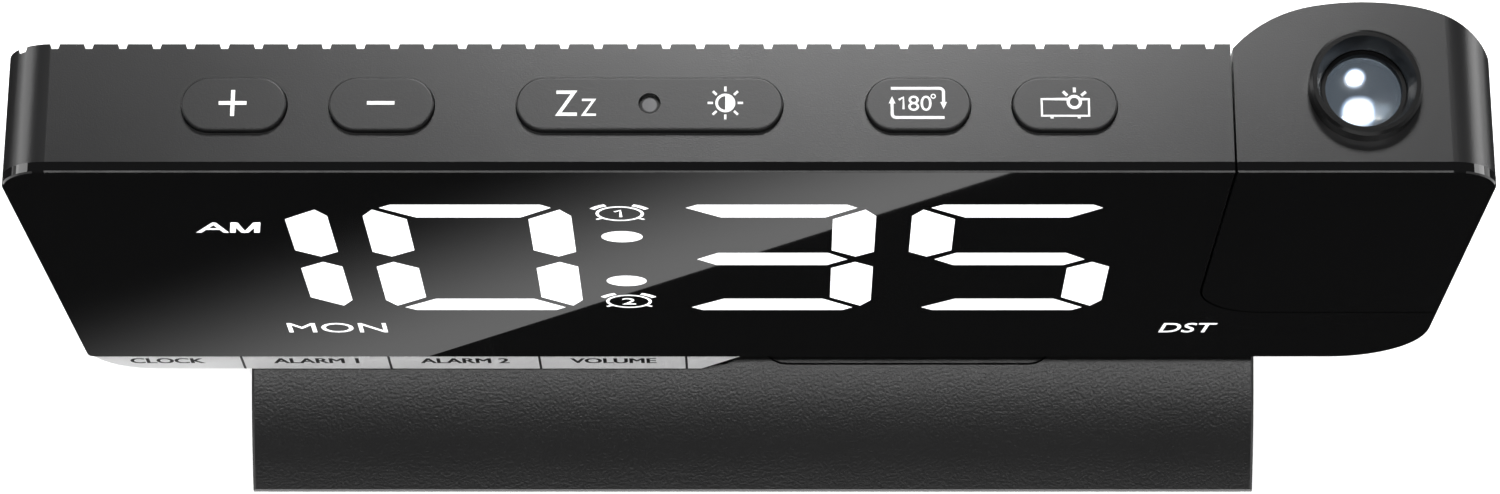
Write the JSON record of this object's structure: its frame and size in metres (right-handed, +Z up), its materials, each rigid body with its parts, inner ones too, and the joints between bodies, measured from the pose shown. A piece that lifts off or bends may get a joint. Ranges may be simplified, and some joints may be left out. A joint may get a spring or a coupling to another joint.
{
  "type": "projection alarm clock",
  "caption": "Slim display clock on a low domed stand, with top buttons, rear keys and sockets, and a projector head with a focus ring that turns at its right end.",
  "frame": {"origin": "under the middle of the clock, on the surface that the feet stand on", "axes": "+X to the right seen from the front, +Y to the back, +Z up; the display faces -Y"},
  "size_m": [0.19, 0.047, 0.0964],
  "materials": {
    "satin_plastic": "fine satin",
    "gloss_panel": "mirror gloss",
    "strip_plastic": "matte",
    "textured_plastic": "fine texture",
    "dark_plastic": "matte",
    "white_plastic": "matte",
    "lens_glass": "polished",
    "smoked_window": "gloss",
    "circuit_board": "solder mask",
    "led_case": "gloss",
    "steel": "bright zinc",
    "sink_aluminium": "extruded",
    "weight_iron": "raw",
    "foot_rubber": "matte"
  },
  "bodies": {
    "clock_body": {"housing": "satin_plastic", "front_panel": "gloss_panel", "label_strip": "strip_plastic", "display_reflector": "white_plastic", "display_board": "circuit_board", "display_leds": "led_case", "display_screws": "steel", "deck_key_board": "circuit_board", "deck_switches": "dark_plastic", "light_sensor": "smoked_window", "rear_key_board": "circuit_board", "rear_switches": "dark_plastic", "main_board": "circuit_board", "board_header": "dark_plastic", "clock_chip": "dark_plastic", "backup_cell_holder": "white_plastic", "backup_cell": "steel", "backup_cell_door": "satin_plastic", "speaker": "dark_plastic", "socket_board": "circuit_board", "power_inlet": "steel", "usb_output": "steel", "neck_left": "textured_plastic", "neck_right": "textured_plastic", "neck_screws": "steel", "stand_shell": "textured_plastic", "stand_plate": "textured_plastic", "stand_weight": "weight_iron", "stand_feet": "foot_rubber", "stand_screws": "steel", "pivot_friction_washer": "white_plastic", "pivot_spring_washer": "steel"},
    "projector_head": {"head_housing": "satin_plastic", "head_panel": "gloss_panel", "projector_barrel": "dark_plastic", "time_film": "smoked_window", "condenser_lens": "lens_glass", "projector_lamp": "led_case", "lamp_board": "circuit_board", "lamp_heat_sink": "sink_aluminium", "pivot_clip": "steel"},
    "focus_ring": {"focus_ring": "satin_plastic", "lens_tube": "dark_plastic", "projection_lens": "lens_glass"},
    "button_plus": {"button_plus": "satin_plastic"},
    "button_minus": {"button_minus": "satin_plastic"},
    "button_snooze_dimmer": {"button_snooze_dimmer": "satin_plastic", "light_sensor_window": "smoked_window"},
    "button_flip": {"button_flip": "satin_plastic"},
    "button_projector": {"button_projector": "satin_plastic"},
    "rear_key_1": {"rear_key_1": "satin_plastic"},
    "rear_key_2": {"rear_key_2": "satin_plastic"},
    "rear_key_3": {"rear_key_3": "satin_plastic"},
    "rear_key_4": {"rear_key_4": "satin_plastic"}
  },
  "joints": [
    {"name": "head_turn", "type": "hinge", "parent": "clock_body", "child": "projector_head", "pos_m": [0.0615, 0, 0.0665], "axis": [1, 0, 0], "range_deg": [-90, 90]},
    {"name": "focus_turn", "type": "hinge", "parent": "projector_head", "child": "focus_ring", "pos_m": [0.078, 0.0026, 0.094], "axis": [0, 0, 1], "range_deg": [-60, 60]},
    {"name": "button_plus_press", "type": "slide", "parent": "clock_body", "child": "button_plus", "axis": [0, 0, -1], "range_m": [0, 0.0005], "stiffness_N_per_m": 300, "springref_m": -0.0005},
    {"name": "button_minus_press", "type": "slide", "parent": "clock_body", "child": "button_minus", "axis": [0, 0, -1], "range_m": [0, 0.0005], "stiffness_N_per_m": 300, "springref_m": -0.0005},
    {"name": "button_snooze_dimmer_press", "type": "slide", "parent": "clock_body", "child": "button_snooze_dimmer", "axis": [0, 0, -1], "range_m": [0, 0.0005], "stiffness_N_per_m": 300, "springref_m": -0.0005},
    {"name": "button_flip_press", "type": "slide", "parent": "clock_body", "child": "button_flip", "axis": [0, 0, -1], "range_m": [0, 0.0005], "stiffness_N_per_m": 300, "springref_m": -0.0005},
    {"name": "button_projector_press", "type": "slide", "parent": "clock_body", "child": "button_projector", "axis": [0, 0, -1], "range_m": [0, 0.0005], "stiffness_N_per_m": 300, "springref_m": -0.0005},
    {"name": "rear_key_1_press", "type": "slide", "parent": "clock_body", "child": "rear_key_1", "axis": [0, -1, 0], "range_m": [0, 0.0005], "stiffness_N_per_m": 300, "springref_m": -0.0005},
    {"name": "rear_key_2_press", "type": "slide", "parent": "clock_body", "child": "rear_key_2", "axis": [0, -1, 0], "range_m": [0, 0.0005], "stiffness_N_per_m": 300, "springref_m": -0.0005},
    {"name": "rear_key_3_press", "type": "slide", "parent": "clock_body", "child": "rear_key_3", "axis": [0, -1, 0], "range_m": [0, 0.0005], "stiffness_N_per_m": 300, "springref_m": -0.0005},
    {"name": "rear_key_4_press", "type": "slide", "parent": "clock_body", "child": "rear_key_4", "axis": [0, -1, 0], "range_m": [0, 0.0005], "stiffness_N_per_m": 300, "springref_m": -0.0005}
  ]
}
